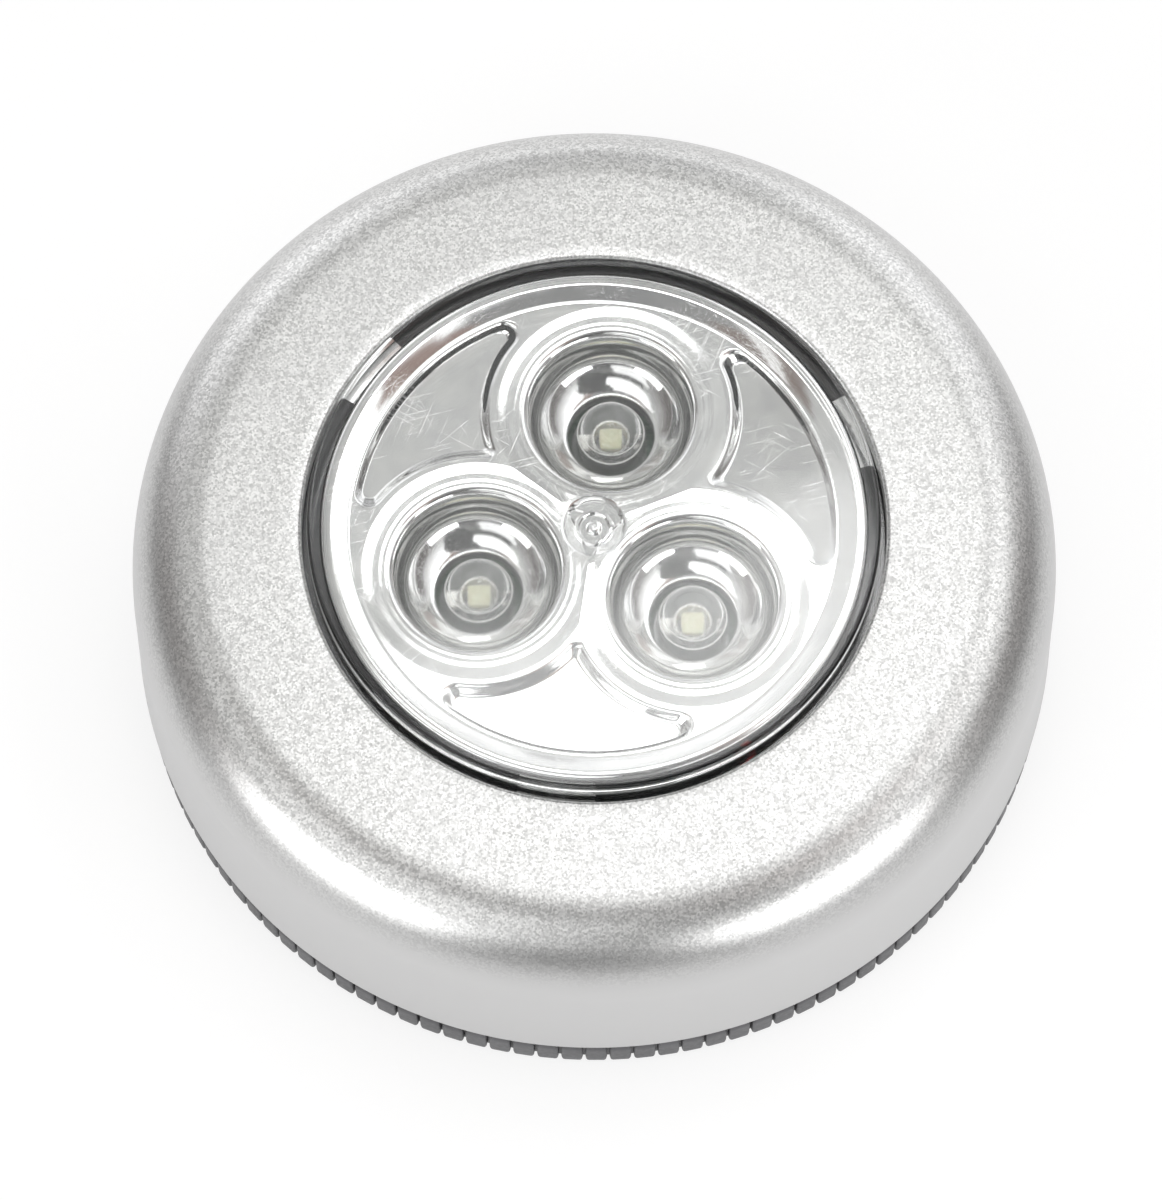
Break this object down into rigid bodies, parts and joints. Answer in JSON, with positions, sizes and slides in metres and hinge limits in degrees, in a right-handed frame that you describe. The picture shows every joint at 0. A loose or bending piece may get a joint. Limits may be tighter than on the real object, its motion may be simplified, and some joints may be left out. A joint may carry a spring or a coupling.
{
  "type": "cabinet light",
  "caption": "Round press-on battery cabinet light with a clear lens over a cupped reflector, a silver housing and a knurled twist-off base.",
  "frame": {"origin": "middle of the adhesive back, on the surface that the light sticks to", "axes": "+Z out of the lens, along the light's axis; -Y towards the viewer; +X to the viewer's right"},
  "size_m": [0.068, 0.068, 0.0225],
  "materials": {
    "silver_paint": "moulded plastic with fine-grained silver metallic paint, satin",
    "base_plastic": "dark grey moulded plastic, knurled edge",
    "tray_plastic": "black moulded plastic",
    "foam_tape": "white closed-cell foam with tacky face",
    "clear_plastic": "clear polished plastic with fine scratches",
    "metallised_plastic": "bright vacuum-metallised plastic",
    "led_epoxy": "water-clear epoxy",
    "phosphor": "pale yellow phosphor",
    "board_laminate": "green solder-masked laminate",
    "resistor_body": "black chip resistor",
    "switch_plastic": "black moulded switch case",
    "plunger_plastic": "white slippery plastic",
    "cell_can": "plain metal-effect battery jacket",
    "contact_steel": "nickel-plated spring steel",
    "screw_steel": "zinc-plated steel",
    "red_insulation": "red wire insulation",
    "black_insulation": "black wire insulation"
  },
  "bodies": {
    "base": {"base_cover": "base_plastic", "adhesive_pad": "foam_tape"},
    "housing": {"top_housing": "silver_paint", "battery_tray": "tray_plastic", "tray_screws": "screw_steel", "cell_a": "cell_can", "cell_b": "cell_can", "cell_c": "cell_can", "contact_springs": "contact_steel", "bridge_contacts": "contact_steel", "positive_terminal": "contact_steel", "negative_terminal": "contact_steel", "wire_red": "red_insulation", "wire_black": "black_insulation"},
    "light_module": {"lens_cap": "clear_plastic", "reflector": "metallised_plastic", "led_a": "led_epoxy", "led_b": "led_epoxy", "led_c": "led_epoxy", "led_leads": "contact_steel", "led_chips": "phosphor", "led_board": "board_laminate", "board_screws": "screw_steel", "resistors": "resistor_body", "switch_case": "switch_plastic", "switch_spring": "contact_steel", "switch_pins": "contact_steel"},
    "plunger": {"switch_plunger": "plunger_plastic"}
  },
  "joints": [
    {"name": "base_twist", "type": "hinge", "parent": "base", "child": "housing", "pos_m": [0, 0, 0], "axis": [0, 0, 1], "range_deg": [0, 18]},
    {"name": "lens_press", "type": "slide", "parent": "housing", "child": "light_module", "axis": [0, 0, -1], "range_m": [0, 0.0016], "stiffness_N_per_m": 900, "springref_m": -0.0012, "deforming": ["wire_red", "wire_black"]},
    {"name": "plunger_slide", "type": "slide", "parent": "light_module", "child": "plunger", "axis": [0, 0, 1], "range_m": [0, 0.0016], "deforming": ["switch_spring"]}
  ],
  "couplings": [
    {"joint": "plunger_slide", "follows": "lens_press", "ratio": 1}
  ]
}
